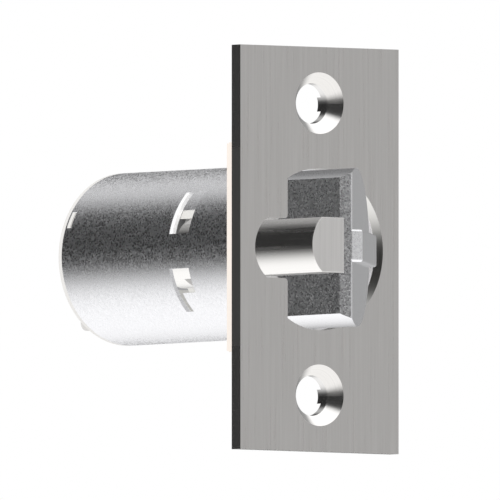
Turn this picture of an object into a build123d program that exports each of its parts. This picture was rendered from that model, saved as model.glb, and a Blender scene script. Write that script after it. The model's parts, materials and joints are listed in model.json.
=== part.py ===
from build123d import *
import math
import os

# A mortised deadlatch for a door edge: a square-cornered faceplate and a back plate carry a
# round case, in which a beveled latch bolt and a half-round guard plunger slide side by side.
# X runs across the faceplate, Y runs into the door, Z is up. The origin is the centre of the
# faceplate's front face. All lengths are in millimetres and the bolt and plunger are thrown.

# Faceplate
plate_width = 28.575
plate_height = 57.15
plate_thickness = 1.98
screw_spacing = 41.28
screw_hole_radius = 2.85
countersink_radius = 4.35
countersink_depth = 1.8

# Back plate
back_thickness = 1.1
back_block_height = 29.6
back_step_depth = 0.43
back_step_inset = 0.14
ear_inset = 0.86
ear_shoulder_height = 34.0
ear_wall = 3.4
ear_rib_height = 1.98
ear_rib_depth = 0.86

# Case tube and end cap
case_radius = 12.18
case_wall = 0.58
case_end_y = 43.1
cap_thickness = 0.7
window_front_lap = 0.4
window_rear_gap = 0.65
window_low_z = 2.45
window_high_z = 8.45
snap_setback = 1.25
snap_width = 1.0
snap_low_angle = 19.5
snap_high_angle = 31.5
snap_gap = 0.03
snap_side_angle = 0.2
snap_ramp = 0.3
snap_tab_wall = 0.5
stake_count = 4
stake_width_angle = 16.0
stake_relief = 0.2

# Latch bolt head
throw = 12.7
bolt_projection = 12.8
bolt_case_gap = 0.42
bolt_opening_gap = 0.27
bolt_back_gap = 0.12
head_rear_y = 2.3
nose_chamfer_width = 1.36
nose_chamfer_depth = 1.09
nose_rounding = 0.25
bevel_slope = 1.0
rib_half_height = 2.3
rib_rise_start = 1.9
rib_end_x = 10.25
rib_end_depth = 1.5
rib_edge_rounding = 0.4

# Guard plunger
plunger_radius = 5.08
plunger_case_gap = 0.06
plunger_flat_offset = 0.71
plunger_half_height = 3.87
plunger_slot_gap = 0.37
plunger_arc_gap = 0.1
plunger_back_gap = 0.05
plunger_shoulder_setback = 0.1
plunger_overrun = 3.5
plunger_edge_rounding = 0.05
slot_corner_radius = 0.5
slide_gap = 0.05

# Guide collar and shoes
head_stop_gap = 0.1
collar_length = 3.35
collar_case_gap = 0.05
collar_wall = 1.1
collar_opening_half = 5.85
shoe_half_height = 4.6
shoe_recess = 0.1
shoe_plunger_gap = 0.07
shoe_inner_gap = 0.15
shoe_stop_gap = 0.05
shoe_rib_gap = 0.04
shoe_rib_recess = 0.06
lower_shoe_half_height = 5.2
lower_shoe_length = 2.0

# Bolt carrier
carrier_gap = 0.15
carrier_lip = 1.35
carrier_floor_z = 2.6
carrier_cut_y = 8.0
lug_setback = 0.4
lug_top_z = 5.0
lug_left_x = -4.25
lug_right_x = -2.9
flange_gap = 0.2
flange_length = 2.0
flange_case_gap = 0.3
flange_start_x = 3.0
flange_step = 0.85
flange_plunger_gap = 0.27
rivet_x = 3.5
rivet_z = 7.2
rivet_radius = 1.2
rivet_depth = 4.5
rivet_reach = 6.0

# Tail
tail_half_thickness = 1.0
tail_half_height = 4.0
tail_front_y = 6.2
tail_reach = 9.0
tail_bar_length = 3.0
tail_bar_half_height = 9.84
tail_corner = 1.3
tail_slot_gap = 0.15
tail_slot_height_gap = 0.2
tail_lost_motion = 2.0
tail_pin_y = 12.0
tail_pin_radius = 1.5
tail_pin_gap = 0.1
tail_pin_right_x = 2.9
cap_slot_gap = 0.25
wing_length = 3.5
wing_setback = 1.8
wing_bottom_z = 2.75
wing_top_z = 3.9
wing_reach_x = -2.75
wing_ramp = 0.7

# Springs, their guides and the seat
seat_cap_space = 1.4
seat_thickness = 0.8
seat_case_gap = 0.1
latch_spring_x = 6.2
latch_spring_radius = 2.9
latch_spring_wire = 0.6
latch_spring_turns = 8
latch_spring_gap = 0.2
latch_guide_radius = 1.5
latch_guide_start_y = 20.0
spring_pocket_y = 4.0
plunger_spring_x = -8.5
plunger_spring_z = -1.2
plunger_spring_radius = 2.1
plunger_spring_wire = 0.45
plunger_spring_turns = 8
plunger_spring_gap = 0.15
plunger_guide_radius = 1.1
plunger_guide_start_y = 24.0
plunger_pocket_y = 10.0
guide_head_radius_extra = 0.7
guide_head_length = 0.7
coil_spans_per_turn = 6
wire_sides = 6

# Cam bar on the plunger
cam_left_x = -8.3
cam_right_x = -5.9
cam_bottom_z = 2.0
cam_front_y = 12.5
cam_ramp_start_y = 15.0
cam_ramp_start_z = 3.85
cam_ramp_extra = 0.3
cam_ramp_end_z = 5.35
cam_tip_length = 2.2
cam_rivet_radius = 0.7
cam_rivet_y = 14.0
cam_rivet_z = 2.9
cam_rivet_left_x = -10.0
cam_notch_gap = 0.1

# Locking dog, its pivot and bracket
dog_left_x = -4.25
dog_right_x = -1.75
dog_pivot_setback = 3.4
dog_pivot_z = 7.6
dog_pin_radius = 1.2
dog_bore_gap = 0.05
dog_boss_radius = 2.0
dog_arm_bottom_z = 6.2
dog_nose_gap = 0.2
dog_nose_length = 2.5
dog_nose_bottom_z = 5.2
dog_tab_length = 2.0
dog_tab_gap = 0.05
dog_tab_thickness = 1.2
dog_tab_edge = 0.3
dog_tab_relief = 0.24
bracket_wall = 1.0
bracket_side_gap = 0.2
bracket_ear_front = 1.8
bracket_rivet_radius = 0.8
bracket_rivet_head = 1.4
dog_spring_wire = 0.5
dog_spring_gap = 0.3
dog_spring_turns = 3
dog_spring_side_gap = 0.1
dog_spring_turn_gap = 0.08
dog_leg_length = 2.2
dog_leg_reach = 1.5
dog_leg_hole_gap = 0.05

# Places that follow from the sizes above
case_bore = case_radius - case_wall
bolt_radius = case_bore - bolt_case_gap
plunger_x = -(case_bore - plunger_case_gap - plunger_radius)
plunger_flat_x = plunger_x + plunger_flat_offset
bolt_flat_x = plunger_flat_x + slide_gap
nose_y = -bolt_projection
nose_x = bolt_flat_x + nose_chamfer_width
rib_rise_x = nose_x + rib_rise_start
back_rear_y = plate_thickness + back_thickness
collar_radius = case_bore - collar_case_gap
collar_bore = collar_radius - collar_wall
carrier_radius = collar_bore - carrier_gap
cap_rear_y = case_end_y + cap_thickness
seat_rear_y = case_end_y - seat_cap_space
seat_front_y = seat_rear_y - seat_thickness
snap_start_y = case_end_y - snap_setback
snap_end_y = snap_start_y + snap_width
collar_start_y = head_rear_y + throw + head_stop_gap
collar_end_y = collar_start_y + collar_length
window_start_y = collar_start_y - window_front_lap
window_end_y = collar_end_y + window_rear_gap
plunger_rear_y = collar_end_y + plunger_overrun
shoulder_y = collar_end_y - plunger_shoulder_setback
flange_start_y = collar_end_y + flange_gap
carrier_rear_y = flange_start_y + flange_length + carrier_lip
lug_front_y = collar_end_y
lug_rear_y = carrier_rear_y - lug_setback
tail_end_y = cap_rear_y + tail_reach
cam_ramp_end_y = cam_ramp_start_y + throw + cam_ramp_extra
cam_end_y = cam_ramp_end_y + cam_tip_length
dog_nose_front_y = lug_rear_y + dog_nose_gap
dog_nose_rear_y = dog_nose_front_y + dog_nose_length
dog_tab_front_y = cam_ramp_end_y
dog_tab_rear_y = dog_tab_front_y + dog_tab_length
dog_pivot_y = seat_front_y - dog_pivot_setback
dog_leg_front_y = dog_pivot_y - dog_leg_length
bracket_front_y = dog_pivot_y - bracket_ear_front
wing_end_y = dog_nose_front_y - wing_setback
wing_start_y = wing_end_y - wing_length
screw_heights = [-screw_spacing / 2, screw_spacing / 2]
dog_coil_bore = dog_pin_radius + dog_spring_gap
dog_leg_offset = dog_coil_bore + dog_spring_wire / 2
dog_arm_top_z = dog_pivot_z + dog_coil_bore - slide_gap


def slab(outline, start, end):
    """Solid of an outline drawn in X and Z, from Y = start to Y = end."""
    plane = Plane(origin=(0, start, 0), x_dir=(1, 0, 0), z_dir=(0, -1, 0))
    return extrude(plane * outline, amount=start - end)


def side_slab(outline, left, right):
    """Solid of an outline drawn in Y and Z, from X = left to X = right."""
    plane = Plane(origin=(left, 0, 0), x_dir=(0, 1, 0), z_dir=(1, 0, 0))
    return extrude(plane * outline, amount=right - left)


def top_slab(outline, low, high):
    """Solid of an outline drawn in X and Y, from Z = low to Z = high."""
    return extrude(Plane.XY.offset(low) * outline, amount=high - low)


def block(left, right, front, rear, low, high):
    """Box between two corners."""
    size = Box(right - left, rear - front, high - low)
    return Pos((left + right) / 2, (front + rear) / 2, (low + high) / 2) * size


def rod(radius, start, end, x=0.0, z=0.0):
    """Round bar along Y."""
    return slab(Pos(x, z) * Circle(radius), start, end)


def cross_rod(radius, left, right, y, z):
    """Round bar along X."""
    return side_slab(Pos(y, z) * Circle(radius), left, right)


def area(points):
    """Flat face with straight sides through the points."""
    return make_face(Polyline(*points, close=True))


def rounded(outline, radius, keep):
    """Outline with the corners that keep(x, y) picks rounded to a radius."""
    corners = [v for v in outline.vertices() if keep(v.X, v.Y)]
    return fillet(corners, radius)


def rectangle(left, right, low, high):
    """Rectangle between two corners of a drawing plane."""
    return Pos((left + right) / 2, (low + high) / 2) * Rectangle(right - left, high - low)


def wedge(low_angle, high_angle, reach):
    """Sector from one angle to another, in degrees up from -X on the left side."""
    low = math.radians(180 - low_angle)
    high = math.radians(180 - high_angle)
    middle = (low + high) / 2
    points = [(0, 0)]
    for angle in (low, middle, high):
        points.append((reach * math.cos(angle), reach * math.sin(angle)))
    return area(points)


def opening(bolt_gap, slot_gap):
    """Keyhole that the bolt and the plunger pass through, drawn in X and Z."""
    chord_x = bolt_flat_x - slide_gap
    disc = Circle(bolt_radius + bolt_gap)
    bolt_side = disc & rectangle(chord_x, 2 * bolt_radius, -2 * bolt_radius, 2 * bolt_radius)
    slot_half = plunger_half_height + slot_gap
    bar = Pos(plunger_x, 0) * Circle(plunger_radius + plunger_arc_gap)
    plunger_side = bar & rectangle(-2 * bolt_radius, chord_x + slide_gap, -slot_half, slot_half)
    both = (bolt_side + plunger_side).clean()
    return rounded(
        both,
        slot_corner_radius,
        lambda x, y: abs(x - chord_x) < 0.01 and abs(abs(y) - slot_half) < 0.01,
    )


def make_faceplate():
    """Plate with sharp corners, two countersunk holes and the keyhole opening."""
    plate = slab(Rectangle(plate_width, plate_height), 0, plate_thickness)
    plate -= slab(opening(bolt_opening_gap, plunger_slot_gap), 0, plate_thickness)
    for height in screw_heights:
        plate -= rod(screw_hole_radius, 0, plate_thickness, 0, height)
        cone = Cone(countersink_radius, screw_hole_radius, countersink_depth)
        plate -= Pos(0, countersink_depth / 2, height) * Rot(-90, 0, 0) * cone
    return plate


def ear_outline():
    """Back plate seen from the front: a full-width block with two tapering ears."""
    block_half = plate_width / 2
    ear_half = block_half - ear_inset
    shoulder = ear_shoulder_height / 2
    outline = Rectangle(plate_width, back_block_height)
    outline += Rectangle(2 * ear_half, ear_shoulder_height)
    ear_end_radius = screw_hole_radius + ear_wall
    for height in screw_heights:
        side = math.copysign(1, height)
        taper = area(
            [
                (-ear_half, side * shoulder),
                (ear_half, side * shoulder),
                (ear_end_radius, height),
                (-ear_end_radius, height),
            ]
        )
        outline += taper
        outline += Pos(0, height) * Circle(ear_end_radius)
    return outline.clean()


def make_back_plate():
    """Plate behind the faceplate, which carries the case and the screw ears."""
    step_y = back_rear_y - back_step_depth
    outline = ear_outline()
    inset_block = Rectangle(plate_width, back_block_height - 2 * back_step_inset)
    ears = outline - Rectangle(plate_width + 1, back_block_height)
    plate = slab(outline, plate_thickness, step_y)
    plate += slab(inset_block + ears, step_y, back_rear_y)
    plate -= slab(opening(bolt_back_gap, plunger_back_gap), plate_thickness, back_rear_y)
    ear_end_radius = screw_hole_radius + ear_wall
    for height in screw_heights:
        plate += block(
            -ear_end_radius,
            ear_end_radius,
            back_rear_y,
            back_rear_y + ear_rib_depth,
            height - ear_rib_height / 2,
            height + ear_rib_height / 2,
        )
        plate -= rod(screw_hole_radius, plate_thickness, back_rear_y + ear_rib_depth, 0, height)
    return plate - stakes()


def stakes():
    """Teeth on the front of the tube, riveted over in slots of the back plate."""
    wall = Circle(case_radius - stake_relief) - Circle(case_bore)
    teeth = None
    for number in range(stake_count):
        turn = 45 + number * 360 / stake_count
        half = math.radians(stake_width_angle / 2)
        reach = 2 * case_radius
        sector = area(
            [
                (0, 0),
                (reach * math.cos(half), -reach * math.sin(half)),
                (reach * math.cos(half), reach * math.sin(half)),
            ]
        )
        tooth = slab(wall & (Rot(0, 0, turn) * sector), plate_thickness, back_rear_y)
        teeth = tooth if teeth is None else teeth + tooth
    return teeth


def snap_patch(start, end, low_angle, high_angle, inner, outer):
    """Curved patch of the tube's wall, on the left side."""
    band = (Circle(outer) - Circle(inner)) & wedge(low_angle, high_angle, 2 * outer)
    return slab(band, start, end)


def make_case_tube():
    """Thin drawn tube with a pair of windows each side and two snap windows at its rear."""
    tube = slab(Circle(case_radius) - Circle(case_bore), back_rear_y, case_end_y)
    cutter_out = case_radius + 1
    cutter_in = case_bore - 0.2
    for low, high in ((window_low_z, window_high_z), (-window_high_z, -window_low_z)):
        tube -= block(-cutter_out, cutter_out, window_start_y, window_end_y, low, high)
    snap = snap_patch(
        snap_start_y, snap_end_y, snap_low_angle, snap_high_angle, cutter_in, cutter_out
    )
    tube -= snap
    tube -= Rot(0, 180, 0) * snap
    return tube + stakes()


def make_end_cap():
    """Disc with a slot for the tail and two tabs that snap into the tube's windows."""
    cap = rod(case_radius, case_end_y, cap_rear_y)
    tab_outer = case_bore - snap_gap
    tab_inner = tab_outer - snap_tab_wall
    low = snap_low_angle + snap_side_angle
    high = snap_high_angle - snap_side_angle
    tab = snap_patch(seat_rear_y, case_end_y, low, high, tab_inner, tab_outer)
    barb_start = snap_start_y + snap_gap
    barb_end = snap_end_y - snap_gap
    barb = snap_patch(barb_start, barb_end, low, high, tab_inner, case_radius - snap_gap)
    leading = [e for e in barb.edges() if abs(e.center().Y - barb_start) < 0.01]
    barb = chamfer(max(leading, key=lambda e: e.center().length), snap_ramp)
    hook = tab + barb
    cap += hook
    cap += Rot(0, 180, 0) * hook
    slot = rectangle(
        -tail_half_thickness - cap_slot_gap,
        tail_half_thickness + cap_slot_gap,
        -tail_half_height - cap_slot_gap,
        tail_half_height + cap_slot_gap,
    )
    return cap - slab(slot, case_end_y, cap_rear_y)


def make_guide_collar():
    """C-shaped ring in the tube that guides the carrier, open on the plunger's side."""
    ring = Circle(collar_radius) - Circle(collar_bore)
    gap = rectangle(-2 * case_radius, 0, -collar_opening_half, collar_opening_half)
    return slab(ring - gap, collar_start_y, collar_end_y)


def make_guide_shoes():
    """Moulded shoes in the collar's ends; the upper one has a rib that stands in the window."""
    right_x = plunger_flat_x - shoe_inner_gap
    far = 2 * case_radius
    disc = Circle(collar_radius - shoe_recess)
    high = disc & rectangle(-far, right_x, shoe_half_height, collar_opening_half)
    rib_end_y = window_end_y - shoe_rib_gap
    upper = slab(high, collar_start_y, rib_end_y)
    rib = Circle(case_radius - shoe_rib_recess) - Circle(collar_bore)
    rib &= rectangle(-far, 0, window_low_z + shoe_rib_gap, window_high_z - shoe_rib_gap)
    upper += slab(rib, collar_end_y, rib_end_y)
    relief = plunger_radius + shoe_plunger_gap
    upper -= rod(relief, shoulder_y - shoe_stop_gap, rib_end_y, plunger_x)
    low = disc & rectangle(-far, right_x, -collar_opening_half, -lower_shoe_half_height)
    lower = slab(low, collar_start_y, collar_start_y + lower_shoe_length)
    return Compound(children=[upper.solid(), lower.solid()])


def head_profile():
    """Bolt head seen from above: flat side, nose chamfer and the long bevel."""
    bevel_end_x = nose_x + (head_rear_y - nose_y) / bevel_slope
    profile = area(
        [
            (bolt_flat_x, head_rear_y),
            (bolt_flat_x, nose_y + nose_chamfer_depth),
            (nose_x, nose_y),
            (bevel_end_x, head_rear_y),
        ]
    )
    return rounded(profile, nose_rounding, lambda x, y: abs(x - nose_x) < 0.01)


def rib_profile():
    """Wear rib on the bevel, seen from above."""
    end_y = nose_y + bevel_slope * (rib_end_x - rib_rise_x)
    inner_x = rib_end_x - rib_end_depth
    profile = area(
        [
            (bolt_flat_x, nose_y + nose_chamfer_depth),
            (nose_x, nose_y),
            (rib_rise_x, nose_y),
            (rib_end_x, end_y),
            (inner_x, end_y + rib_end_depth),
            (inner_x, head_rear_y),
            (bolt_flat_x, head_rear_y),
        ]
    )
    profile = rounded(profile, nose_rounding, lambda x, y: abs(x - nose_x) < 0.01)
    return rounded(profile, rib_edge_rounding, lambda x, y: abs(x - rib_end_x) < 0.01)


def make_rib():
    """Rib with its long outer edges rounded."""
    rib = top_slab(rib_profile(), -rib_half_height, rib_half_height)
    outer = []
    for edge in rib.edges():
        middle = edge.center()
        on_side = abs(abs(middle.Z) - rib_half_height) < 0.01
        on_front = abs(middle.Y - nose_y) < 0.01
        slant_y = nose_y + bevel_slope * (middle.X - rib_rise_x)
        on_slant = abs(middle.Y - slant_y) < 0.01 and middle.X > rib_rise_x
        at_end = middle.X > rib_end_x - rib_edge_rounding and middle.Y > nose_y + rib_rise_start
        if on_side and (on_front or on_slant or at_end):
            outer.append(edge)
    return fillet(outer, rib_edge_rounding)


def make_latch_bolt():
    """Beveled head: a round bar cut by the profile, with the cast rib on its bevel."""
    head = rod(bolt_radius, nose_y, head_rear_y)
    head &= top_slab(head_profile(), -case_radius, case_radius)
    head += make_rib()
    return head - make_head_rivets()


def carrier_outline():
    """Carrier seen from the front: a disc with the plunger's side cut flat."""
    return Circle(carrier_radius) & rectangle(
        bolt_flat_x, 2 * carrier_radius, -2 * carrier_radius, 2 * carrier_radius
    )


def make_bolt_carrier():
    """Slide behind the head, slotted for the tail and bored for the latch spring."""
    carrier = slab(carrier_outline(), head_rear_y, carrier_rear_y)
    slot_half = tail_half_height + tail_slot_height_gap
    slot_x = tail_half_thickness + tail_slot_gap
    carrier -= block(
        2 * bolt_flat_x, -slot_x, carrier_cut_y, carrier_rear_y, carrier_floor_z, case_radius
    )
    carrier += block(lug_left_x, lug_right_x, lug_front_y, lug_rear_y, carrier_floor_z, lug_top_z)
    far = 2 * case_radius
    flange_end_y = flange_start_y + flange_length
    flange = Circle(case_bore - flange_case_gap) - Circle(carrier_radius - 1)
    stop = flange & rectangle(flange_start_x, far, -far, far)
    carrier += slab(stop, flange_start_y, flange_end_y)
    under = flange & rectangle(-far, flange_start_x, -far, -plunger_radius - flange_plunger_gap)
    carrier += slab(under, flange_start_y + flange_step, flange_end_y)
    carrier -= block(-slot_x, slot_x, tail_front_y - 0.2, carrier_rear_y, -slot_half, slot_half)
    carrier -= rod(
        latch_spring_radius + latch_spring_gap, spring_pocket_y, carrier_rear_y, latch_spring_x
    )
    carrier -= tail_pin_solid()
    return carrier - make_head_rivets()


def make_head_rivets():
    """Two headless rivets, driven into the head and the carrier."""
    start = head_rear_y - rivet_depth
    end = head_rear_y + rivet_reach
    return Compound(
        children=[rod(rivet_radius, start, end, rivet_x, side * rivet_z) for side in (-1, 1)]
    )


def tail_pin_solid():
    """Cross pin that drives the carrier from the tail."""
    return cross_rod(tail_pin_radius, bolt_flat_x + 0.1, tail_pin_right_x, tail_pin_y, 0)


def make_tail_bar():
    """T-shaped strip: a slotted stem, a release wing and the rounded crossbar."""
    stem = rectangle(tail_front_y, tail_end_y, -tail_half_height, tail_half_height)
    bar_front = tail_end_y - tail_bar_length
    crossbar = rectangle(bar_front, tail_end_y, -tail_bar_half_height, tail_bar_half_height)
    crossbar = rounded(crossbar, tail_corner, lambda x, y: True)
    slot_radius = tail_pin_radius + tail_pin_gap
    slot_rear = tail_pin_y
    slot_front = tail_pin_y - tail_lost_motion - tail_pin_gap
    slot = rectangle(slot_front, slot_rear, -slot_radius, slot_radius)
    slot += Pos(slot_front, 0) * Circle(slot_radius)
    slot += Pos(slot_rear, 0) * Circle(slot_radius)
    outline = (stem + crossbar - slot).clean()
    tail = side_slab(outline, -tail_half_thickness, tail_half_thickness)
    wing = area(
        [
            (wing_start_y, wing_bottom_z),
            (wing_end_y, wing_bottom_z),
            (wing_end_y - wing_ramp, wing_top_z),
            (wing_start_y, wing_top_z),
        ]
    )
    return tail + side_slab(wing, wing_reach_x, -tail_half_thickness)


def make_deadlock_plunger():
    """Half-round bar, narrower in front, with a notch for the cam bar and a spring bore."""
    far = 2 * case_radius
    half_round = Pos(plunger_x, 0) * Circle(plunger_radius)
    half_round &= rectangle(-far, plunger_flat_x, -far, far)
    bar = half_round & rectangle(-far, far, -plunger_half_height, plunger_half_height)
    front = slab(bar, nose_y, shoulder_y)
    rim = [e for e in front.edges() if abs(e.center().Y - nose_y) < 0.01]
    front = chamfer(rim, plunger_edge_rounding)
    body = front + slab(half_round, shoulder_y, plunger_rear_y)
    body -= block(cam_left_x, 0, cam_front_y, plunger_rear_y, cam_bottom_z, case_radius)
    body -= rod(
        plunger_spring_radius + plunger_spring_gap,
        plunger_pocket_y,
        plunger_rear_y,
        plunger_spring_x,
        plunger_spring_z,
    )
    return body - cam_rivet_solid()


def cam_rivet_solid():
    """Cross rivet through the cam bar."""
    return cross_rod(cam_rivet_radius, cam_rivet_left_x, cam_right_x, cam_rivet_y, cam_rivet_z)


def make_cam_bar():
    """Strip with the long ramp that lets the dog down as the plunger goes in."""
    outline = area(
        [
            (cam_front_y, cam_bottom_z),
            (cam_end_y, cam_bottom_z),
            (cam_end_y, cam_ramp_end_z),
            (cam_ramp_end_y, cam_ramp_end_z),
            (cam_ramp_start_y, cam_ramp_start_z),
            (cam_front_y, cam_ramp_start_z),
        ]
    )
    return side_slab(outline, cam_left_x, cam_right_x) - cam_rivet_solid()


def make_locking_dog():
    """Lever whose nose drops behind the carrier's lug, lifted by a tab on the cam bar."""
    arm = area(
        [
            (dog_nose_front_y, dog_nose_bottom_z),
            (dog_nose_rear_y, dog_nose_bottom_z),
            (dog_nose_rear_y, dog_arm_bottom_z),
            (dog_pivot_y, dog_arm_bottom_z),
            (dog_pivot_y, dog_arm_top_z),
            (dog_nose_front_y, dog_arm_top_z),
        ]
    )
    outline = arm + Pos(dog_pivot_y, dog_pivot_z) * Circle(dog_boss_radius)
    outline -= Pos(dog_pivot_y, dog_pivot_z) * Circle(dog_pin_radius + dog_bore_gap)
    dog = side_slab(outline, dog_left_x, dog_right_x)
    tab_bottom = cam_ramp_end_z + dog_tab_gap
    tab_top = tab_bottom + dog_tab_thickness
    tab = area(
        [
            (dog_tab_front_y, tab_bottom),
            (dog_tab_front_y + dog_tab_edge, tab_bottom),
            (dog_tab_rear_y, tab_bottom + dog_tab_relief),
            (dog_tab_rear_y, tab_top),
            (dog_tab_front_y, tab_top),
        ]
    )
    return dog + side_slab(tab, cam_left_x + 2 * cam_notch_gap, dog_left_x)


def make_spring_seat():
    """Disc that the springs push against, notched for the tail and the cam bar."""
    seat = rod(case_bore - seat_case_gap, seat_front_y, seat_rear_y)
    slot_x = tail_half_thickness + cap_slot_gap
    slot_half = tail_half_height + cap_slot_gap
    seat -= block(-slot_x, slot_x, seat_front_y, seat_rear_y, -slot_half, slot_half)
    seat -= block(
        cam_left_x - cam_notch_gap,
        cam_right_x + cam_notch_gap,
        seat_front_y,
        seat_rear_y,
        cam_bottom_z - cam_notch_gap,
        cam_ramp_end_z + cam_notch_gap,
    )
    seat -= rod(latch_guide_radius, seat_front_y, seat_rear_y, latch_spring_x)
    seat -= rod(
        plunger_guide_radius, seat_front_y, seat_rear_y, plunger_spring_x, plunger_spring_z
    )
    return seat - bracket_rivet_shank() - dog_leg_hole()


def make_spring_guide(radius, start, x, z):
    """Rod inside a spring, with a head behind the seat."""
    head_end = seat_rear_y + guide_head_length
    head = rod(radius + guide_head_radius_extra, seat_rear_y, head_end, x, z)
    return rod(radius, start, seat_rear_y, x, z) + head


def make_wire(points, wire):
    """Wire of even thickness through the points, mitred where it turns."""
    path = Polyline(*points)
    section = Plane(origin=path @ 0, z_dir=path % 0) * RegularPolygon(wire / 2, wire_sides)
    return sweep(section, path=path, transition=Transition.RIGHT)


def make_coil(radius, wire, turns, start, end, x, z):
    """Compression spring between two places along Y, wound in short spans."""
    mean = radius - wire / 2
    spans = turns * coil_spans_per_turn
    rise = (end - start - wire) / spans
    points = []
    for number in range(spans + 1):
        turn = 2 * math.pi * number / coil_spans_per_turn
        y = start + wire / 2 + number * rise
        points.append((x + mean * math.cos(turn), y, z + mean * math.sin(turn)))
    return make_wire(points, wire)


def bracket_ears():
    """Left and right places of the bracket's two ears."""
    left = dog_left_x - bracket_side_gap
    right = dog_right_x + bracket_side_gap
    return (left - bracket_wall, left), (right, right + bracket_wall)


def make_pivot_bracket():
    """Folded bracket on the seat, with an ear each side of the dog."""
    left_ear, right_ear = bracket_ears()
    low = dog_pivot_z - dog_boss_radius
    high = dog_pivot_z + dog_boss_radius
    base_front = seat_front_y - bracket_wall
    bracket = block(left_ear[0], right_ear[1], base_front, seat_front_y, low, high)
    for ear in (left_ear, right_ear):
        bracket += block(ear[0], ear[1], bracket_front_y, base_front, low, high)
    bracket -= cross_rod(dog_pin_radius, left_ear[0], right_ear[1], dog_pivot_y, dog_pivot_z)
    return bracket - bracket_rivet_shank()


def bracket_rivet_shank():
    """Shank through the bracket's base and the seat."""
    middle_x = (dog_left_x + dog_right_x) / 2
    start = seat_front_y - bracket_wall
    return rod(bracket_rivet_radius, start, seat_rear_y, middle_x, dog_pivot_z)


def make_bracket_rivet():
    """Rivet with a flat head behind the seat."""
    middle_x = (dog_left_x + dog_right_x) / 2
    head = rod(
        bracket_rivet_head, seat_rear_y, seat_rear_y + guide_head_length, middle_x, dog_pivot_z
    )
    return bracket_rivet_shank() + head


def dog_spring_places():
    """Left and right ends of the torsion coil, beside the right ear."""
    start = bracket_ears()[1][1] + dog_spring_side_gap
    return start, start + (dog_spring_turns + 1) * (dog_spring_wire + dog_spring_turn_gap)


def make_dog_pivot_pin():
    """Pin through the bracket's ears, the dog and the torsion spring."""
    left_ear, _ = bracket_ears()
    right_end = dog_spring_places()[1] + 0.2
    return cross_rod(dog_pin_radius, left_ear[0] - 0.15, right_end, dog_pivot_y, dog_pivot_z)


def dog_leg_hole():
    """Square hole in the seat that holds the rear leg of the torsion spring."""
    x = dog_spring_places()[1] - dog_spring_wire / 2
    z = dog_pivot_z + dog_leg_offset
    half = dog_spring_wire / 2 + dog_leg_hole_gap
    return block(x - half, x + half, seat_front_y, seat_rear_y, z - half, z + half)


def make_dog_spring():
    """Torsion spring whose front leg presses on the dog and whose rear leg is held in the seat."""
    left, right = dog_spring_places()
    front_x = left + dog_spring_wire / 2
    rear_x = right - dog_spring_wire / 2
    top_z = dog_pivot_z + dog_leg_offset
    points = [
        (dog_right_x - dog_leg_reach, dog_leg_front_y, top_z),
        (front_x, dog_leg_front_y, top_z),
    ]
    spans = dog_spring_turns * coil_spans_per_turn
    for number in range(spans + 1):
        turn = 2 * math.pi * number / coil_spans_per_turn
        x = front_x + (rear_x - front_x) * number / spans
        y = dog_pivot_y + dog_leg_offset * math.sin(turn)
        points.append((x, y, dog_pivot_z + dog_leg_offset * math.cos(turn)))
    points.append((rear_x, seat_rear_y, top_z))
    return make_wire(points, dog_spring_wire)


def save(name, shape):
    """Write one piece to its own file."""
    export_step(shape, f"parts/{name}.step")


def main():
    os.makedirs("parts", exist_ok=True)
    save("faceplate", make_faceplate())
    save("back_plate", make_back_plate())
    save("case_tube", make_case_tube())
    save("end_cap", make_end_cap())
    save("guide_collar", make_guide_collar())
    save("guide_shoes", make_guide_shoes())
    save("latch_bolt", make_latch_bolt())
    save("bolt_carrier", make_bolt_carrier())
    save("head_rivets", make_head_rivets())
    save("tail_pin", tail_pin_solid())
    save("tail_bar", make_tail_bar())
    save("deadlock_plunger", make_deadlock_plunger())
    save("cam_bar", make_cam_bar())
    save("cam_rivet", cam_rivet_solid())
    save("locking_dog", make_locking_dog())
    save("dog_pivot_pin", make_dog_pivot_pin())
    save("dog_spring", make_dog_spring())
    save("pivot_bracket", make_pivot_bracket())
    save("bracket_rivet", make_bracket_rivet())
    save("spring_seat", make_spring_seat())
    save(
        "latch_spring_guide",
        make_spring_guide(latch_guide_radius, latch_guide_start_y, latch_spring_x, 0),
    )
    save(
        "plunger_spring_guide",
        make_spring_guide(
            plunger_guide_radius, plunger_guide_start_y, plunger_spring_x, plunger_spring_z
        ),
    )
    save(
        "latch_spring",
        make_coil(
            latch_spring_radius,
            latch_spring_wire,
            latch_spring_turns,
            spring_pocket_y,
            seat_front_y,
            latch_spring_x,
            0,
        ),
    )
    save(
        "plunger_spring",
        make_coil(
            plunger_spring_radius,
            plunger_spring_wire,
            plunger_spring_turns,
            plunger_pocket_y,
            seat_front_y,
            plunger_spring_x,
            plunger_spring_z,
        ),
    )


main()
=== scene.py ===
# %% [markdown]
# # A mortised deadlatch and its finishes
# This lesson dresses a latch that is already built to size: a brushed faceplate, a satin case,
# a cast bolt with a polished guard plunger beside it, and the small works inside the case.
# The built pieces come in as a frame that is never moved or reshaped. What the lesson adds is the
# view, the studio, a finish for every surface, and the springs, which the frame holds as plain coils.

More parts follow.
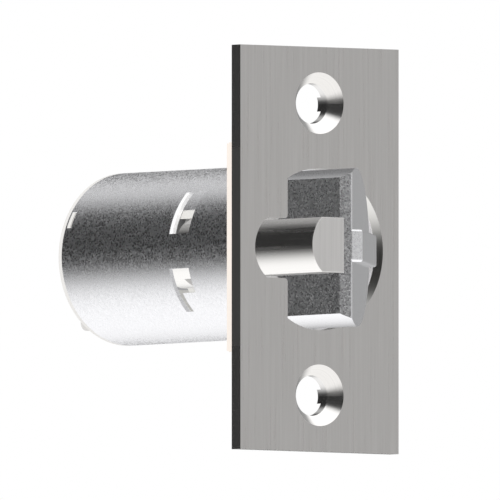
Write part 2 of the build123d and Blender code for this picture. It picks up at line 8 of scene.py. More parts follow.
# %% Load the frame
import bpy
import json
import math
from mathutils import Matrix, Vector


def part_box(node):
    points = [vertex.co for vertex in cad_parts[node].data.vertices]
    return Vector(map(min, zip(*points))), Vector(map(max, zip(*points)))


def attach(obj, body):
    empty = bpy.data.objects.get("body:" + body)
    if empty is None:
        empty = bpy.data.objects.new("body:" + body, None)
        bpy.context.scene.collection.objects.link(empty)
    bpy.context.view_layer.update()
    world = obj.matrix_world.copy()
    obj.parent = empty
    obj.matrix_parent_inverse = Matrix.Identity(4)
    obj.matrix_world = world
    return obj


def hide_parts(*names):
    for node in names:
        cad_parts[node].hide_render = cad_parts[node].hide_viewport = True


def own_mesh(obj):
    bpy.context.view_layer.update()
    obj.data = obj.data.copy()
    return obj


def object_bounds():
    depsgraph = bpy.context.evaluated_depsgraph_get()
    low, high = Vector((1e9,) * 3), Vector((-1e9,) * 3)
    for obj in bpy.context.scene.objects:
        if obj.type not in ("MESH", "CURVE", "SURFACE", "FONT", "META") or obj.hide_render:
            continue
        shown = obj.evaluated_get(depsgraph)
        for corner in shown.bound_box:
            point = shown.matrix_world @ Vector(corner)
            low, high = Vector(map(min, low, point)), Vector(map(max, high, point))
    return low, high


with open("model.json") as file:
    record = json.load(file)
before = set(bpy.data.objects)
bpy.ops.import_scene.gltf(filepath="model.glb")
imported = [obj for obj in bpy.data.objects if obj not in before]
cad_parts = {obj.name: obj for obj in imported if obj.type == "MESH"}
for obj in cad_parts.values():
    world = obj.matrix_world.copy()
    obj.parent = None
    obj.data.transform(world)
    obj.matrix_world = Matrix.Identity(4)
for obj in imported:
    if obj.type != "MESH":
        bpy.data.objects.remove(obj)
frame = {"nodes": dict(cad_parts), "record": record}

frame_low, frame_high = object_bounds()
nodes = frame["nodes"]
millimetre = 0.001
bpy.ops.object.select_all(action="DESELECT")
print("pieces in the frame:", len(nodes))
print("frame box in mm:", [round((b - a) / millimetre, 2) for a, b in zip(frame_low, frame_high)])

# %% [markdown]
# ## The view
# The picture to match is a parallel view: edges that run into the door stay parallel in it, and
# both ends of the faceplate have the same width. A perspective lens can only come near to that
# from far away, so the camera is orthographic. It stands to the left of the latch and a little
# below its middle. Its direction is given as two angles, and its scale as the width that it sees.

# %% Camera
scene = bpy.context.scene
scene.view_settings.view_transform = "Standard"
view_turn = math.radians(-38.6)
view_rise = math.radians(-2.45)
seen_width = 70.59 * millimetre
target_right = -9.816 * millimetre
target_up = -0.113 * millimetre
camera_distance = 0.4
nearest_seen = 0.01
farthest_seen = 10

towards_camera = Vector((
    math.sin(view_turn) * math.cos(view_rise),
    -math.cos(view_turn) * math.cos(view_rise),
    math.sin(view_rise),
))
camera_right = Vector((math.cos(view_turn), math.sin(view_turn), 0))
camera_up = towards_camera.cross(camera_right)
target = target_right * camera_right + target_up * camera_up

bpy.ops.object.camera_add(location=target + camera_distance * towards_camera)
camera = bpy.context.object
camera.name = "camera"
camera.rotation_euler = (-towards_camera).to_track_quat("-Z", "Y").to_euler()
camera.data.type = "ORTHO"
camera.data.ortho_scale = seen_width
camera.data.clip_start = nearest_seen
camera.data.clip_end = farthest_seen
scene.camera = camera
print("camera at", [round(c, 4) for c in camera.location])

# %% [markdown]
# ## The studio
# Metal shows its surroundings more than its own colour, so the studio is most of its look. Here
# the latch hangs over a white floor and under a white ceiling. The wall on the left and behind is
# dark, which draws the dark band along the case and the plunger. The wall gets lighter to the right
# and most of all in front, which is what the faceplate mirrors. All of it is one world shader that
# reads the direction of a ray. Rays that carry soft light to the painted parts meet an even white
# instead, and so does the camera, which gives the plain white background.

# %% World
def add_node(tree, kind, **settings):
    """New node in a tree, with its settings and, by name or number, its socket values."""
    node = tree.nodes.new(kind)
    for key, value in settings.pop("values", {}).items():
        node.inputs[key].default_value = value
    for key, value in settings.items():
        setattr(node, key, value)
    return node


def add_math(tree, operation, first, second=None):
    """Math node on sockets or plain numbers; returns its output."""
    node = add_node(tree, "ShaderNodeMath", operation=operation)
    for number, value in enumerate((first, second)):
        if value is None:
            continue
        if isinstance(value, (int, float)):
            node.inputs[number].default_value = value
        else:
            tree.links.new(value, node.inputs[number])
    return node.outputs[0]


def add_step(tree, value, start, end):
    """Smooth step that is 0 at start and 1 at end."""
    node = add_node(tree, "ShaderNodeMapRange", interpolation_type="SMOOTHSTEP", clamp=True)
    node.inputs["From Min"].default_value = start
    node.inputs["From Max"].default_value = end
    tree.links.new(value, node.inputs["Value"])
    return node.outputs["Result"]


def two_values(tree, share, first, second):
    """Number that goes from the first to the second with share."""
    node = add_node(tree, "ShaderNodeMix", data_type="FLOAT")
    for socket, value in ((node.inputs[2], first), (node.inputs[3], second)):
        if isinstance(value, (int, float)):
            socket.default_value = value
        else:
            tree.links.new(value, socket)
    tree.links.new(share, node.inputs[0])
    return node.outputs[0]


dark_wall = 0.03
side_light = 0.36
side_edge = (0.4, 1.0)
front_light = 0.375
front_lean = (0.5, -0.8)
front_edge = (0.0, 1.0)
floor_edge = (0.03, 0.61)
ceiling_edge = (0.49, 0.78)
ceiling_lean = 0.15
white_light = 1.07
even_light = 1.0
backdrop_light = 1.0

world = bpy.data.worlds.new("studio")
scene.world = world
world.use_nodes = True
world.cycles.sampling_method = "NONE"
sky = world.node_tree
sky.nodes.clear()
direction = add_node(sky, "ShaderNodeTexCoord").outputs["Generated"]
parts = add_node(sky, "ShaderNodeSeparateXYZ")
sky.links.new(direction, parts.inputs[0])
right, back, up = (parts.outputs[name] for name in "XYZ")
side_share = add_step(sky, right, *side_edge)
to_the_right = add_math(sky, "MULTIPLY", right, front_lean[0])
to_the_front = add_math(sky, "MULTIPLY", back, front_lean[1])
front_share = add_step(sky, add_math(sky, "ADD", to_the_right, to_the_front), *front_edge)
wall = add_math(sky, "ADD", add_math(sky, "MULTIPLY", side_share, side_light), dark_wall)
wall = add_math(sky, "ADD", wall, add_math(sky, "MULTIPLY", front_share, front_light))
floor_share = add_step(sky, add_math(sky, "MULTIPLY", up, -1), *floor_edge)
leaning_up = add_math(sky, "ADD", up, add_math(sky, "MULTIPLY", right, ceiling_lean))
ceiling_share = add_step(sky, leaning_up, *ceiling_edge)
white_share = add_math(sky, "MAXIMUM", floor_share, ceiling_share)
mirrored = two_values(sky, white_share, wall, white_light)
ray = add_node(sky, "ShaderNodeLightPath")
lighting = two_values(sky, ray.outputs["Is Diffuse Ray"], mirrored, even_light)
seen = two_values(sky, ray.outputs["Is Camera Ray"], lighting, backdrop_light)
background = add_node(sky, "ShaderNodeBackground")
sky.links.new(seen, background.inputs["Color"])
world_output = add_node(sky, "ShaderNodeOutputWorld")
sky.links.new(background.outputs[0], world_output.inputs[0])
print("world nodes:", len(sky.nodes))

# %% [markdown]
# ## The floor
# The floor lies under the latch and fades out at its rim, so that it has no edge against the white
# background and still takes the latch's shadow. Mirrors look through it to the world, which already
# holds a floor of its own.

# %% Floor
def object_place(tree):
    """Socket that tells where a point is in the object's own coordinates."""
    return add_node(tree, "ShaderNodeTexCoord").outputs["Object"]


floor_drop = 50 * millimetre
floor_height = frame_low.z - floor_drop
floor_size = 3.0
floor_fade = (0.35, 1.2)
floor_tone = (0.95, 0.95, 0.95, 1)
bpy.ops.mesh.primitive_plane_add(size=floor_size, location=(0, 0, floor_height))
floor = bpy.context.object
floor.name = "floor"
bpy.ops.object.transform_apply(location=True, rotation=True, scale=True)
floor_material = bpy.data.materials.new("pale_floor")
floor_material.use_nodes = True
tree = floor_material.node_tree
tree.nodes.clear()
paint = add_node(tree, "ShaderNodeBsdfDiffuse", values={"Color": floor_tone})
clear = add_node(tree, "ShaderNodeBsdfTransparent")
distance = add_node(tree, "ShaderNodeVectorMath", operation="LENGTH")
tree.links.new(object_place(tree), distance.inputs[0])
fade = add_step(tree, distance.outputs["Value"], *floor_fade)
mirror_ray = add_node(tree, "ShaderNodeLightPath").outputs["Is Glossy Ray"]
see_through = add_math(tree, "MAXIMUM", fade, mirror_ray)
floor_mix = add_node(tree, "ShaderNodeMixShader")
tree.links.new(see_through, floor_mix.inputs[0])
tree.links.new(paint.outputs[0], floor_mix.inputs[1])
tree.links.new(clear.outputs[0], floor_mix.inputs[2])
tree.links.new(floor_mix.outputs[0], add_node(tree, "ShaderNodeOutputMaterial").inputs[0])
floor.data.materials.append(floor_material)
print("floor at", round(floor_height / millimetre, 1), "mm")

# %% [markdown]
# ## The lamp
# One large lamp in front gives the painted parts a soft direction. It is hidden from mirrors,
# because the metal should show the studio's walls and not a lamp. So are the pieces themselves: the
# picture's metal mirrors only the studio, and the pieces don't show in each other.

# %% Lamp
lamp_place = Vector((-0.35, -0.45, 0.35))
lamp_size = 0.4
lamp_power = 1.2
bpy.ops.object.light_add(type="AREA", location=lamp_place)
lamp = bpy.context.object
lamp.name = "soft_lamp"
lamp.rotation_euler = (-lamp_place).to_track_quat("-Z", "Y").to_euler()
lamp.data.size = lamp_size
lamp.data.energy = lamp_power
lamp.visible_glossy = False
for node in nodes.values():
    node.visible_glossy = False
print("lamp is", round(lamp_place.length / millimetre), "mm away")

# %% [markdown]
# ## Effects that several finishes share
# Brushing, the grain of a cast or tumbled surface, and the difference between a face and the edges
# beside it come back in many of the finishes. Each is a node group with named inputs, built once.
# A group gives out masks and normals, and the shader itself stays in the material.

# %% Group helpers
def new_group(name, inputs, outputs):
    """Empty shader node group; an input is (name, kind, value) and an output is (name, kind)."""
    group = bpy.data.node_groups.new(name, "ShaderNodeTree")
    for label, kind, value in inputs:
        socket = group.interface.new_socket(label, in_out="INPUT", socket_type=kind)
        socket.default_value = value
    for label, kind in outputs:
        group.interface.new_socket(label, in_out="OUTPUT", socket_type=kind)
    entry = group.nodes.new("NodeGroupInput")
    result = group.nodes.new("NodeGroupOutput")
    return group, entry, result


def add_bump(tree, strength, pattern, tallest):
    """Tilt the surface by a pattern of heights; returns the new normal."""
    node = add_node(tree, "ShaderNodeBump", values={"Distance": tallest})
    tree.links.new(strength, node.inputs["Strength"])
    tree.links.new(pattern, node.inputs["Height"])
    return node.outputs[0]


def off_axis_of(tree, across, up):
    """How far a point is from an axis, worked out from its two distances across it."""
    across_squared = add_math(tree, "POWER", across, 2)
    up_squared = add_math(tree, "POWER", up, 2)
    return add_math(tree, "SQRT", add_math(tree, "ADD", across_squared, up_squared))

# %% [markdown]
# ## Grains and brushing
# A tumbled or cast surface is made of small facets, each a little duller or brighter than the next,
# so its group gives every cell of a Voronoi pattern its own value. Fine pits come from noise alone,
# and brushing is noise that is stretched along the strokes. Each group also gives a normal, so that
# the marks tilt the surface a little too.

# %% Groups for the surface
grain_height = 0.1 * millimetre
streak_height = 0.05 * millimetre
pit_noise = {"Detail": 3.0, "Roughness": 0.75}
streak_noise = {"Scale": 1.0, "Detail": 4.0, "Roughness": 0.65}


def make_crystal_group():
    """Small facets side by side, each with its own value, on top of a fine noise.

    Squaring brings the smoother facets closer together and spreads out the rougher ones.
    """
    group, entry, result = new_group(
        "crystal_grain",
        [("Grains per metre", "NodeSocketFloat", 4500.0), ("Depth", "NodeSocketFloat", 0.1)],
        [("Grain", "NodeSocketFloat"), ("Normal", "NodeSocketVector")],
    )
    place = object_place(group)
    facets = add_node(group, "ShaderNodeTexVoronoi")
    noise = add_node(group, "ShaderNodeTexNoise", values=pit_noise)
    for pattern in (facets, noise):
        group.links.new(place, pattern.inputs["Vector"])
        group.links.new(entry.outputs[0], pattern.inputs["Scale"])
    parts = add_node(group, "ShaderNodeSeparateColor")
    group.links.new(facets.outputs["Color"], parts.inputs[0])
    both = add_math(group, "ADD", parts.outputs[0], noise.outputs[0])
    mean = add_math(group, "MULTIPLY", both, 0.5)
    group.links.new(add_math(group, "POWER", mean, 2), result.inputs[0])
    normal = add_bump(group, entry.outputs[1], noise.outputs[0], grain_height)
    group.links.new(normal, result.inputs[1])
    return group


def make_grain_group():
    """Pits and grains of one size in every direction."""
    group, entry, result = new_group(
        "surface_grain",
        [("Grains per metre", "NodeSocketFloat", 4000.0), ("Depth", "NodeSocketFloat", 0.5)],
        [("Grain", "NodeSocketFloat"), ("Normal", "NodeSocketVector")],
    )
    noise = add_node(group, "ShaderNodeTexNoise", values=pit_noise)
    group.links.new(object_place(group), noise.inputs["Vector"])
    group.links.new(entry.outputs[0], noise.inputs["Scale"])
    group.links.new(noise.outputs[0], result.inputs[0])
    normal = add_bump(group, entry.outputs[1], noise.outputs[0], grain_height)
    group.links.new(normal, result.inputs[1])
    return group


def make_streak_group():
    """Long thin scratches, with how many cross a metre in X, Y and Z."""
    group, entry, result = new_group(
        "brush_streaks",
        [("Lines per metre", "NodeSocketVector", (2000.0, 2000.0, 40.0)),
         ("Depth", "NodeSocketFloat", 0.1)],
        [("Streak", "NodeSocketFloat"), ("Normal", "NodeSocketVector")],
    )
    stretch = add_node(group, "ShaderNodeVectorMath", operation="MULTIPLY")
    group.links.new(object_place(group), stretch.inputs[0])
    group.links.new(entry.outputs[0], stretch.inputs[1])
    noise = add_node(group, "ShaderNodeTexNoise", values=streak_noise)
    group.links.new(stretch.outputs[0], noise.inputs["Vector"])
    group.links.new(noise.outputs[0], result.inputs[0])
    normal = add_bump(group, entry.outputs[1], noise.outputs[0], streak_height)
    group.links.new(normal, result.inputs[1])
    return group


crystal_group = make_crystal_group()
grain_group = make_grain_group()
streak_group = make_streak_group()
print("grain and brushing:", [g.name for g in bpy.data.node_groups])

# %% [markdown]
# ## Masks by direction and place
# One piece often has more than one finish: a brushed front and cut edges, or a coated face and bare
# holes. A facing mask parts them by the direction of the face. Where that isn't enough, the place
# of the point does it, measured from the case's axis or from the nearer screw hole.

# %% Groups for masks
frontwards = (0, -1, 0)
facing_edge = (0.97, 0.99)
ring_noise = {"Scale": 1.0, "Detail": 2.0}


def make_facing_group():
    """1 on faces that point along a direction of the piece, 0 elsewhere."""
    group, entry, result = new_group(
        "facing",
        [("Direction", "NodeSocketVector", frontwards)],
        [("Mask", "NodeSocketFloat")],
    )
    normal = add_node(group, "ShaderNodeTexCoord").outputs["Normal"]
    product = add_node(group, "ShaderNodeVectorMath", operation="DOT_PRODUCT")
    group.links.new(normal, product.inputs[0])
    group.links.new(entry.outputs[0], product.inputs[1])
    group.links.new(add_step(group, product.outputs["Value"], *facing_edge), result.inputs[0])
    return group


def make_place_group():
    """Where a point of a piece is: along the case, above its middle, and off its axis."""
    group, entry, result = new_group(
        "place",
        [],
        [("Along", "NodeSocketFloat"), ("Above", "NodeSocketFloat"), ("Off axis", "NodeSocketFloat")],
    )
    place = add_node(group, "ShaderNodeSeparateXYZ")
    group.links.new(object_place(group), place.inputs[0])
    across, along, up = (place.outputs[name] for name in "XYZ")
    group.links.new(along, result.inputs[0])
    group.links.new(up, result.inputs[1])
    group.links.new(off_axis_of(group, across, up), result.inputs[2])
    return group


def make_screw_group(screw_height):
    """Where a point is beside the nearer screw hole: off its axis, above it, and in which ring."""
    group, entry, result = new_group(
        "beside_screw",
        [("Rings per metre", "NodeSocketFloat", 15000.0)],
        [("Off axis", "NodeSocketFloat"), ("Above", "NodeSocketFloat"), ("Ring", "NodeSocketFloat")],
    )
    place = add_node(group, "ShaderNodeSeparateXYZ")
    group.links.new(object_place(group), place.inputs[0])
    across, up = place.outputs["X"], place.outputs["Z"]
    beyond = add_math(group, "SUBTRACT", add_math(group, "ABSOLUTE", up), screw_height)
    off_axis = off_axis_of(group, across, beyond)
    rings = add_node(group, "ShaderNodeTexNoise", noise_dimensions="1D", values=ring_noise)
    group.links.new(add_math(group, "MULTIPLY", off_axis, entry.outputs[0]), rings.inputs["W"])
    group.links.new(off_axis, result.inputs[0])
    group.links.new(add_math(group, "MULTIPLY", add_math(group, "SIGN", up), beyond), result.inputs[1])
    group.links.new(rings.outputs[0], result.inputs[2])
    return group


screws = next(m for m in frame["record"]["mounts"] if m["name"] == "face_screws")
screw_height = screws["dims"]["spacing_y_mm"] / 2 * millimetre
screw_radius = screws["dims"]["hole_r_mm"] * millimetre
screw_group = make_screw_group(screw_height)
facing_group = make_facing_group()
place_group = make_place_group()
print("screw holes are", round(screw_height / millimetre, 2), "mm from the middle")

# %% [markdown]
# ## Helpers for the finishes
# Every finish starts from one Principled shader. What is the same all over the surface, such as how
# metallic it is, is set on the shader's own socket. What changes over the surface is linked.

# %% Material helpers
def start_finish(name, **sockets):
    """New material with one Principled shader, whose plain sockets are set here."""
    material = bpy.data.materials.new(name)
    material.use_nodes = True
    tree = material.node_tree
    shader = tree.nodes["Principled BSDF"]
    for label, value in sockets.items():
        shader.inputs[label.replace("_", " ")].default_value = value
    return material, tree, shader


def use_group(tree, group, **values):
    """Place a shared group in a material with its own values."""
    node = add_node(tree, "ShaderNodeGroup", node_tree=group)
    for label, value in values.items():
        node.inputs[label.replace("_", " ")].default_value = value
    return node


def spread(tree, value, low, high, start=0.3, end=0.7):
    """The part of a 0 to 1 pattern between start and end, turned into the range low to high."""
    node = add_node(tree, "ShaderNodeMapRange", clamp=True)
    node.inputs["From Min"].default_value = start
    node.inputs["From Max"].default_value = end
    node.inputs["To Min"].default_value = low
    node.inputs["To Max"].default_value = high
    tree.links.new(value, node.inputs["Value"])
    return node.outputs["Result"]


def two_tones(tree, share, first, second):
    """Colour that goes from the first tone to the second with share."""
    node = add_node(tree, "ShaderNodeMix", data_type="RGBA")
    for socket, tone in ((node.inputs[6], first), (node.inputs[7], second)):
        if isinstance(tone, tuple):
            socket.default_value = (*tone, 1.0)
        else:
            tree.links.new(tone, socket)
    tree.links.new(share, node.inputs[0])
    return node.outputs[2]


def two_normals(tree, share, first, second):
    """Normal that goes from the first to the second with share."""
    node = add_node(tree, "ShaderNodeMix", data_type="VECTOR")
    tree.links.new(first, node.inputs[4])
    tree.links.new(second, node.inputs[5])
    tree.links.new(share, node.inputs[0])
    return node.outputs[1]


def finish_pieces(material, *names):
    """Give a finish to nodes of the frame."""
    for name in names:
        nodes[name].data.materials.clear()
        nodes[name].data.materials.append(material)

# %% [markdown]
# ## Brushed faceplate
# The faceplate is stamped from strip and its front is brushed along its height. Fine upright lines
# of slightly different grey show on it. The countersinks and the opening are cut bright, and the
# plate's edges are bright too, so a mask by the direction of the face keeps the brushing on the
# front. The lines are one stretched noise: it tints the colour, changes the roughness, and tilts
# the surface a little from side to side. The cut faces are brightest beyond the opening, where the
# screws are. The upper half of a countersink is painted a little darker, with rings from the cutter
# in it: a painted reflection of the countersink's own other side, which the pieces don't mirror here.

# %% Faceplate finish
brushing = {"Lines_per_metre": (2200, 2200, 45), "Depth": 0.12}
brushed_tones = ((0.62, 0.605, 0.59), (0.78, 0.765, 0.75))
brushed_roughness = (0.26, 0.34)
cut_tone = (0.8, 0.79, 0.765)
cut_roughness = 0.28
cut_grain = {"Grains_per_metre": 2500, "Depth": 0.02}
screws_from = 14 * millimetre
countersink_edge = 4.5 * millimetre
halves_meet = (-0.3 * millimetre, 0.3 * millimetre)
lower_half_tone = (1.0, 0.985, 0.97)
# Darker tones for the upper halves of the countersinks: rings from the cutter plus a painted
# reflection.
ring_and_reflection_tones = ((0.73, 0.715, 0.695), (0.92, 0.9, 0.875))
turned_roughness = 0.2


def make_brushed_plate():
    """Bright strip with a brushed front and turned countersinks, whose upper halves carry a painted
    reflection.
    """
    material, tree, shader = start_finish("brushed_plate", Metallic=1.0)
    streaks = use_group(tree, streak_group, **brushing)
    front = use_group(tree, facing_group, Direction=frontwards).outputs["Mask"]
    pits = use_group(tree, grain_group, **cut_grain)
    height = add_math(tree, "ABSOLUTE", use_group(tree, place_group).outputs["Above"])
    at_screws = add_math(tree, "GREATER_THAN", height, screws_from)
    screw = use_group(tree, screw_group)
    in_cone = add_math(tree, "LESS_THAN", screw.outputs["Off axis"], countersink_edge)
    above = add_step(tree, screw.outputs["Above"], *halves_meet)
    upper_half = add_math(tree, "MULTIPLY", in_cone, above)
    rings = two_tones(tree, screw.outputs["Ring"], *ring_and_reflection_tones)
    # Painted reflection: the upper half of each countersink takes the darker ring tones.
    countersink_tone = two_tones(tree, upper_half, lower_half_tone, rings)
    cut = two_tones(tree, at_screws, cut_tone, countersink_tone)
    brushed = two_tones(tree, streaks.outputs["Streak"], *brushed_tones)
    tree.links.new(two_tones(tree, front, cut, brushed), shader.inputs["Base Color"])
    cut_rough = two_values(tree, at_screws, cut_roughness, turned_roughness)
    brushed_rough = spread(tree, streaks.outputs["Streak"], *brushed_roughness)
    tree.links.new(two_values(tree, front, cut_rough, brushed_rough), shader.inputs["Roughness"])
    normal = two_normals(tree, front, pits.outputs["Normal"], streaks.outputs["Normal"])
    tree.links.new(normal, shader.inputs["Normal"])
    return material


finish_pieces(make_brushed_plate(), "faceplate")

# %% [markdown]
# ## Satin case
# The case is a thin drawn tube with a fine, even grain, like tumbled or bead-blasted metal. It has
# no colour pattern: the speckle comes from small facets, some duller and some brighter, which show
# only where the studio behind them is uneven. So the grain changes the roughness most, tilts the
# surface a little, and the colour stays nearly plain.

# %% Tube and collar finish
facets_per_metre = 5500
facet_span = (0.06, 0.56)
tube_depth = 0.06
tube_tones = ((0.92, 0.92, 0.94), (0.96, 0.96, 0.98))
tube_roughness = (0.22, 0.53)


def make_satin_tube():
    """Drawn steel with a fine, even speckle of duller and brighter facets."""
    material, tree, shader = start_finish("satin_tube", Metallic=1.0)
    grain = use_group(tree, crystal_group, Grains_per_metre=facets_per_metre, Depth=tube_depth)
    tree.links.new(two_tones(tree, grain.outputs["Grain"], *tube_tones), shader.inputs["Base Color"])
    rough = spread(tree, grain.outputs["Grain"], *tube_roughness, *facet_span)
    tree.links.new(rough, shader.inputs["Roughness"])
    tree.links.new(grain.outputs["Normal"], shader.inputs["Normal"])
    return material


finish_pieces(make_satin_tube(), "case_tube", "guide_collar")

# %% [markdown]
# ## Cast bolt
# The bolt head is a steel casting. Its flat side, the chamfer at its nose and the front of its rib
# keep the grain of the mould. The round back, the underside and the long bevel that slides over the
# strike are ground smooth. Three facing masks, added up, say where the grain is.

# %% Bolt finish
flat_side = (-1, 0, 0)
nose_chamfer = (-0.625, -0.78, 0)
cast_depth = 0.25
cast_tones = ((0.86, 0.86, 0.88), (1.0, 1.0, 1.0))
cast_roughness = (0.24, 0.56)
ground_tone = (0.97, 0.97, 0.99)
ground_roughness = 0.26


def make_cast_bolt():
    """Cast steel, with the mould's grain on three faces and the others ground smooth."""
    material, tree, shader = start_finish("cast_bolt", Metallic=1.0)
    grain = use_group(tree, crystal_group, Grains_per_metre=facets_per_metre, Depth=cast_depth)
    cast = 0
    for direction in (flat_side, frontwards, nose_chamfer):
        mask = use_group(tree, facing_group, Direction=direction).outputs["Mask"]
        cast = add_math(tree, "ADD", mask, cast)
    cast_tone = two_tones(tree, grain.outputs["Grain"], *cast_tones)
    tree.links.new(two_tones(tree, cast, ground_tone, cast_tone), shader.inputs["Base Color"])
    cast_rough = spread(tree, grain.outputs["Grain"], *cast_roughness, *facet_span)
    tree.links.new(two_values(tree, cast, ground_roughness, cast_rough), shader.inputs["Roughness"])
    plain = add_node(tree, "ShaderNodeNewGeometry").outputs["Normal"]
    tree.links.new(two_normals(tree, cast, plain, grain.outputs["Normal"]), shader.inputs["Normal"])
    return material


finish_pieces(make_cast_bolt(), "latch_bolt")

# %% [markdown]
# ## Polished plunger
# The guard plunger is bright drawn bar. Faint lines run along it from the drawing die, and its
# sawn and brushed end has upright lines like the faceplate. The same facing mask parts the two.
# Along its upper side the bar is a little darker: this is painted shade.

# %% Plunger finish
drawing_lines = {"Lines_per_metre": (2500, 60, 2500), "Depth": 0.05}
drawn_tones = ((0.9, 0.885, 0.865), (0.97, 0.955, 0.935))
drawn_roughness = (0.12, 0.32)
# Painted shade: above this band the bar's upper side takes a darker tone.
plunger_shade_band = (2.2 * millimetre, 3.4 * millimetre)
plunger_shade_tone = (0.63, 0.62, 0.605)
end_tones = ((0.76, 0.745, 0.73), (1.0, 0.985, 0.97))
end_roughness = 0.3


def make_polished_bar():
    """Bright drawn bar with painted shade along its upper side, and a brushed end."""
    material, tree, shader = start_finish("polished_bar", Metallic=1.0)
    drawn = use_group(tree, streak_group, **drawing_lines)
    brushed = use_group(tree, streak_group, **brushing)
    front = use_group(tree, facing_group, Direction=frontwards).outputs["Mask"]
    above = use_group(tree, place_group).outputs["Above"]
    drawn_tone = two_tones(tree, drawn.outputs["Streak"], *drawn_tones)
    # Painted shade: the upper side of the bar takes the darker tone.
    side_tone = two_tones(tree, add_step(tree, above, *plunger_shade_band), drawn_tone, plunger_shade_tone)
    end_tone = two_tones(tree, brushed.outputs["Streak"], *end_tones)
    tree.links.new(two_tones(tree, front, side_tone, end_tone), shader.inputs["Base Color"])
    side_rough = spread(tree, drawn.outputs["Streak"], *drawn_roughness)
    tree.links.new(two_values(tree, front, side_rough, end_roughness), shader.inputs["Roughness"])
    normal = two_normals(tree, front, drawn.outputs["Normal"], brushed.outputs["Normal"])
    tree.links.new(normal, shader.inputs["Normal"])
    return material


finish_pieces(make_polished_bar(), "deadlock_plunger")

# %% [markdown]
# ## Light coatings
# The back plate, the end cap, the tail and the moulded shoes are pale and dull: a thin satin
# coating on the first three, bare moulded plastic on the shoes. A coating is never quite flat, so a
# coarse, shallow grain tilts it a little and changes its tone by a hair. A patch changes the tone by
# place: it has a limit that a measure of the place group must be under or over. Here the cap's
# hooks are painted darker on their ramps: painted shade.

# %% Cap and tail finishes
coat_gloss = 0.4
coat_grain = {"Grains_per_metre": 1500, "Depth": 0.05}


def make_coating(name, tones, roughness, grain, patches=()):
    """Dull finish between two tones; a patch is a measure, a comparison, a limit and a tone."""
    material, tree, shader = start_finish(name, Roughness=roughness, Specular_IOR_Level=coat_gloss)
    pits = use_group(tree, grain_group, **grain)
    colour = two_tones(tree, pits.outputs["Grain"], *tones)
    place = use_group(tree, place_group)
    for measure, comparison, limit, tone in patches:
        inside = add_math(tree, comparison, place.outputs[measure], limit)
        colour = two_tones(tree, inside, colour, tone)
    tree.links.new(colour, shader.inputs["Base Color"])
    tree.links.new(pits.outputs["Normal"], shader.inputs["Normal"])
    return material


coat_roughness = 0.45
cap_tones = ((0.76, 0.745, 0.725), (0.79, 0.775, 0.755))
tail_tones = ((0.73, 0.715, 0.7), (0.76, 0.745, 0.73))
hook_ramp_end = 42.2 * millimetre
# Painted shade: the cap takes this darker tone in front of the end of its hook ramps.
hook_shade_tone = (0.5, 0.49, 0.47)
hook_shade_patch = [("Along", "LESS_THAN", hook_ramp_end, hook_shade_tone)]
finish_pieces(make_coating("cream_cap", cap_tones, coat_roughness, coat_grain, hook_shade_patch), "end_cap")
finish_pieces(make_coating("tail_strip", tail_tones, coat_roughness, coat_grain), "tail_bar")

# %% [markdown]
# ## Back plate
# The back plate has the warmest of the coatings. Round its opening it is painted paler: painted
# light that lifts the shade in the narrow gaps there. Its screw holes were drilled after coating, so
# their walls are bare metal: a mask by the distance from the nearer screw takes the coating away
# there, and the wall mirrors the studio.

# %% Back plate finish
plate_tones = ((0.86, 0.78, 0.71), (0.89, 0.81, 0.74))
opening_radius = 12.5 * millimetre
# Painted light: a paler tone round the opening, which lifts the shade in the narrow gaps there.
opening_light_tone = (0.96, 0.95, 0.96)
bare_margin = 0.1 * millimetre
bare_tone = (0.8, 0.79, 0.78)
bare_roughness = 0.2


def bare_screw_holes(material):
    """Make the walls of the two screw holes bare metal."""
    tree = material.node_tree
    shader = tree.nodes["Principled BSDF"]
    screw = use_group(tree, screw_group)
    bare = add_math(tree, "LESS_THAN", screw.outputs["Off axis"], screw_radius + bare_margin)
    coated = shader.inputs["Base Color"].links[0].from_socket
    tree.links.new(two_tones(tree, bare, coated, bare_tone), shader.inputs["Base Color"])
    rough = two_values(tree, bare, coat_roughness, bare_roughness)
    tree.links.new(rough, shader.inputs["Roughness"])
    tree.links.new(bare, shader.inputs["Metallic"])
    return material


# Painted light: round the opening the plate takes the paler tone.
opening_light_patch = [("Off axis", "LESS_THAN", opening_radius, opening_light_tone)]
cream = make_coating("cream_plate", plate_tones, coat_roughness, coat_grain, opening_light_patch)
finish_pieces(bare_screw_holes(cream), "back_plate")

# %% [markdown]
# ## Guide shoes
# The shoes that guide the plunger are moulded and have a finer grain than the coatings. The rib of
# the upper shoe, which shows in the window, gets painted light on its outer rim, a pure white, and
# painted shade on its inner part, a dark grey. The second patch lies over the first, so their order
# matters.

# %% Shoe finish
shoe_tones = ((0.72, 0.71, 0.68), (0.76, 0.75, 0.72))
shoe_roughness = 0.5
shoe_grain = {"Grains_per_metre": 3000, "Depth": 0.08}
rib_start = 18.44 * millimetre
rib_rim_radius = 11.5 * millimetre
# Painted shade for the inner part of the rib, and painted light for its outer rim.
rib_shade_tone = (0.12, 0.12, 0.12)
rib_light_tone = (1.0, 1.0, 1.0)
# Painted shade on the rib's inner part, then painted light on its outer rim.
shoe_rib = [
    ("Along", "GREATER_THAN", rib_start, rib_shade_tone),
    ("Off axis", "GREATER_THAN", rib_rim_radius, rib_light_tone),
]
finish_pieces(
    make_coating("moulded_shoe", shoe_tones, shoe_roughness, shoe_grain, shoe_rib),
    "guide_shoes",
)

# %% [markdown]
# ## Springs
# The frame holds each coil spring as a coarse coil, and a finer one takes its place: a true helix of
# round wire whose end turns lie shut, so that it sits flat on its seat. The Screw modifier sweeps a
# circle round an axis and along it. Three sweeps give the front shut turn, the open turns and the
# rear shut turn. Whole turns end where they began, so the three join edge to edge.

# %% Coil helpers
sides_of_wire = 10
steps_per_turn = 28
shut_pitch = 1.06
merge_distance = 0.001 * millimetre
smooth_angle = math.radians(40)


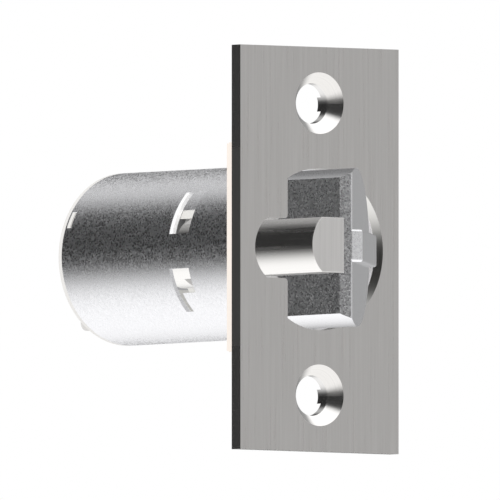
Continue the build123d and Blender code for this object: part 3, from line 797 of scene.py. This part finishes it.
def sweep_turns(radius, wire, start, turns, pitch):
    """Wire circle swept through whole turns round the Y axis; returns the object."""
    bpy.ops.mesh.primitive_circle_add(
        vertices=sides_of_wire, radius=wire / 2, location=(radius, start, 0)
    )
    coil = bpy.context.object
    bpy.ops.object.transform_apply(location=True, rotation=True, scale=True)
    screw = coil.modifiers.new("turns", "SCREW")
    screw.axis = "Y"
    screw.steps = steps_per_turn
    screw.render_steps = steps_per_turn
    screw.iterations = turns
    screw.screw_offset = pitch
    screw.use_merge_vertices = False
    bpy.ops.object.modifier_apply(modifier=screw.name)
    return coil


def make_coil_spring(name, low, high, outside, wire, turns):
    """Compression spring along Y in the box of its node, with one shut turn at each end."""
    radius = outside - wire / 2
    shut = shut_pitch * wire
    open_pitch = (high[1] - low[1] - wire - 2 * shut) / turns
    first = low[1] + wire / 2
    parts = [
        sweep_turns(radius, wire, first, 1, shut),
        sweep_turns(radius, wire, first + shut, turns, open_pitch),
        sweep_turns(radius, wire, first + shut + turns * open_pitch, 1, shut),
    ]
    bpy.ops.object.select_all(action="DESELECT")
    for part in parts:
        part.select_set(True)
    bpy.context.view_layer.objects.active = parts[0]
    bpy.ops.object.join()
    spring = bpy.context.object
    spring.name = name
    bpy.ops.object.mode_set(mode="EDIT")
    bpy.ops.mesh.select_all(action="SELECT")
    bpy.ops.mesh.remove_doubles(threshold=merge_distance)
    bpy.ops.mesh.select_all(action="DESELECT")
    bpy.ops.mesh.select_non_manifold()
    bpy.ops.mesh.edge_face_add()
    bpy.ops.mesh.select_all(action="SELECT")
    bpy.ops.mesh.normals_make_consistent(inside=False)
    bpy.ops.transform.translate(value=((low[0] + high[0]) / 2, 0, (low[2] + high[2]) / 2))
    bpy.ops.object.mode_set(mode="OBJECT")
    bpy.ops.object.shade_smooth_by_angle(angle=smooth_angle)
    spring.select_set(False)
    print(name, "faces:", len(spring.data.polygons), "open turns:", turns)
    return spring

# %% [markdown]
# ## Springs in their places
# Each spring takes the box of its node, so that it starts and ends on the same seats. It rides on
# the case, where its rear end rests.

# %% Springs
open_turns = 8
latch_coil_radius = 2.9 * millimetre
latch_wire = 0.6 * millimetre
plunger_coil_radius = 2.1 * millimetre
plunger_wire = 0.45 * millimetre


def place_spring(spring, node):
    """Let a spring stand for its node and ride on the case."""
    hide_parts(node)
    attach(spring, "case")
    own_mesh(spring)
    spring.visible_glossy = False


latch_low, latch_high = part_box("latch_spring")
latch_coil = make_coil_spring(
    "latch_coil", latch_low, latch_high, latch_coil_radius, latch_wire, open_turns
)
place_spring(latch_coil, "latch_spring")

plunger_low, plunger_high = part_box("plunger_spring")
plunger_coil = make_coil_spring(
    "plunger_coil", plunger_low, plunger_high, plunger_coil_radius, plunger_wire, open_turns
)
place_spring(plunger_coil, "plunger_spring")

# %% [markdown]
# ## Inner works
# Stamped and turned steel inside the case is zinc plated, and the slide behind the bolt is a dull
# zinc casting. They only show through the windows and with the bolt in, so their finishes are
# simple, but each has its own grain.

# %% Inner finishes
def make_plain_metal(name, tones, roughness, grain):
    """Plain metal whose tone and roughness follow its grain."""
    material, tree, shader = start_finish(name, Metallic=1.0)
    pits = use_group(tree, grain_group, **grain)
    tree.links.new(two_tones(tree, pits.outputs["Grain"], *tones), shader.inputs["Base Color"])
    tree.links.new(spread(tree, pits.outputs["Grain"], *roughness), shader.inputs["Roughness"])
    tree.links.new(pits.outputs["Normal"], shader.inputs["Normal"])
    return material


stamped_finish = make_plain_metal(
    "stamped_steel",
    tones=((0.55, 0.55, 0.57), (0.68, 0.68, 0.69)),
    roughness=(0.25, 0.4),
    grain={"Grains_per_metre": 1200, "Depth": 0.05},
)
cast_finish = make_plain_metal(
    "cast_carrier",
    tones=((0.76, 0.75, 0.72), (0.88, 0.87, 0.84)),
    roughness=(0.4, 0.55),
    grain={"Grains_per_metre": 2500, "Depth": 0.3},
)
wire_finish = make_plain_metal(
    "spring_wire",
    tones=((0.45, 0.45, 0.47), (0.6, 0.6, 0.62)),
    roughness=(0.2, 0.35),
    grain={"Grains_per_metre": 5000, "Depth": 0.08},
)
subparts = frame["record"]["subparts"]
stamped_names = [part["node"] for part in subparts if part["material_slot"] == "stamped_steel"]
finish_pieces(stamped_finish, *stamped_names)
finish_pieces(cast_finish, "bolt_carrier")
finish_pieces(wire_finish, "latch_spring", "plunger_spring", "dog_spring")
for coil in (latch_coil, plunger_coil):
    coil.data.materials.append(wire_finish)
print("stamped pieces:", stamped_names)
